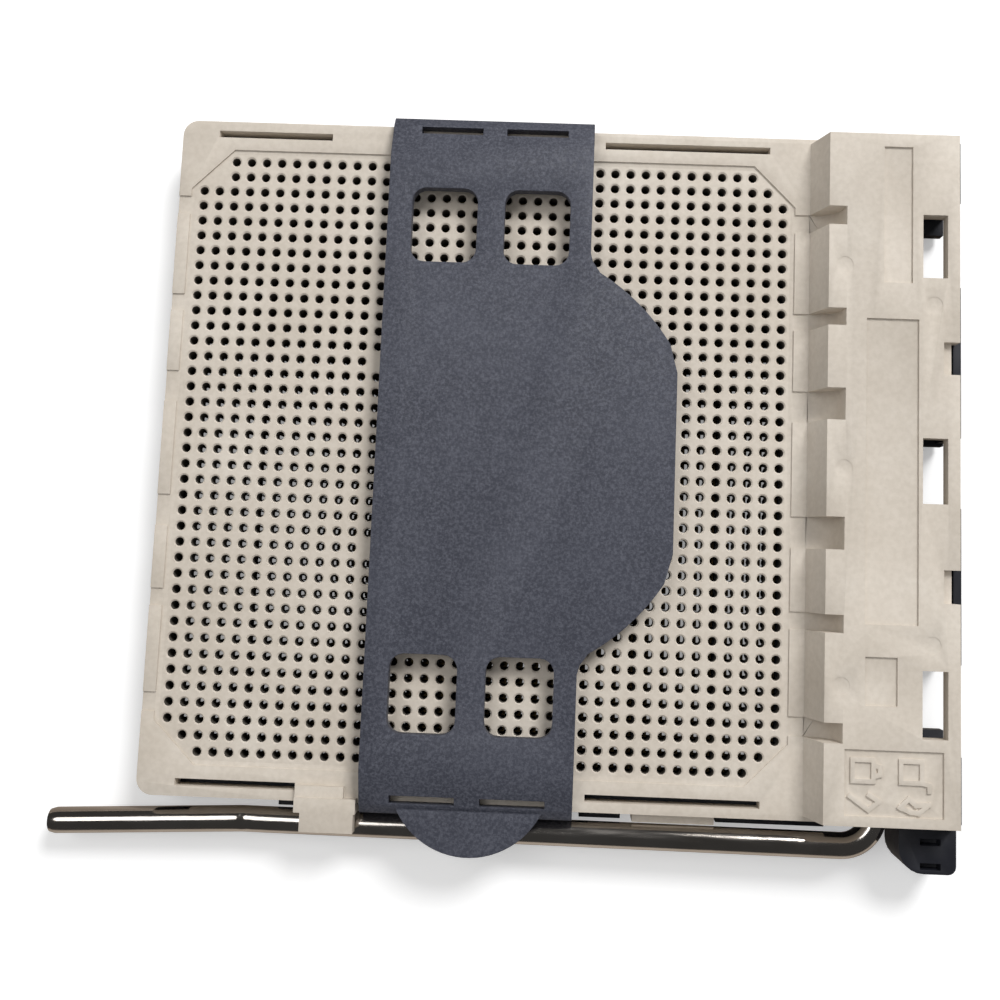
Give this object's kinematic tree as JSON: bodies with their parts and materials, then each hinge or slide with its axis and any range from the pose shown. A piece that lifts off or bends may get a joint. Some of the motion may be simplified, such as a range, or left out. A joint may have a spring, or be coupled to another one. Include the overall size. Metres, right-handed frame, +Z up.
{
  "type": "zero insertion force pin grid socket",
  "caption": "Square board socket for a pin-grid chip: a sliding cover full of pin holes on a dark base, worked by a bent wire lever, with a clip-on pick-up cap.",
  "frame": {"origin": "middle of the pin grid, on the face of the board", "axes": "+X towards the raised head, +Y away from the lever's side, +Z up from the board"},
  "size_m": [0.0565, 0.0468, 0.006],
  "materials": {
    "cream_moulding": "matte moulded",
    "black_moulding": "matte moulded",
    "slate_moulding": "fine textured",
    "lever_wire": "bright plated",
    "wear_steel": "rolled",
    "contact_metal": "thin gold plating",
    "solder": "dull solder"
  },
  "bodies": {
    "base": {"base": "black_moulding", "base_wear_plate": "wear_steel", "solder_balls_a": "solder", "solder_balls_b": "solder", "solder_balls_c": "solder", "solder_balls_d": "solder", "contact_row_01": "contact_metal", "contact_row_02": "contact_metal", "contact_row_03": "contact_metal", "contact_row_04": "contact_metal", "contact_row_05": "contact_metal", "contact_row_06": "contact_metal", "contact_row_07": "contact_metal", "contact_row_08": "contact_metal", "contact_row_09": "contact_metal", "contact_row_10": "contact_metal", "contact_row_11": "contact_metal", "contact_row_12": "contact_metal", "contact_row_13": "contact_metal", "contact_row_14": "contact_metal", "contact_row_15": "contact_metal", "contact_row_16": "contact_metal", "contact_row_17": "contact_metal", "contact_row_18": "contact_metal", "contact_row_19": "contact_metal", "contact_row_20": "contact_metal", "contact_row_21": "contact_metal", "contact_row_22": "contact_metal", "contact_row_23": "contact_metal", "contact_row_24": "contact_metal", "contact_row_25": "contact_metal", "contact_row_26": "contact_metal", "contact_row_27": "contact_metal", "contact_row_28": "contact_metal", "contact_row_29": "contact_metal", "contact_row_30": "contact_metal", "contact_row_31": "contact_metal", "contact_row_32": "contact_metal", "contact_row_33": "contact_metal", "contact_row_34": "contact_metal", "contact_row_35": "contact_metal", "contact_row_36": "contact_metal", "contact_row_37": "contact_metal", "contact_row_38": "contact_metal", "contact_row_39": "contact_metal"},
    "cover": {"cover": "cream_moulding", "cover_wear_plate": "wear_steel", "pickup_cap": "slate_moulding"},
    "lever": {"lever": "lever_wire"}
  },
  "joints": [
    {"name": "lever_hinge", "type": "hinge", "parent": "base", "child": "lever", "pos_m": [0.0253, 0, 0.00295], "axis": [0, 1, 0], "range_deg": [0, 90]},
    {"name": "cover_slide", "type": "slide", "parent": "base", "child": "cover", "axis": [1, 0, 0], "range_m": [-0.0005, 0]}
  ],
  "couplings": [
    {"joint": "cover_slide", "follows": "lever_hinge", "m_per_rad": -0.00031511}
  ]
}
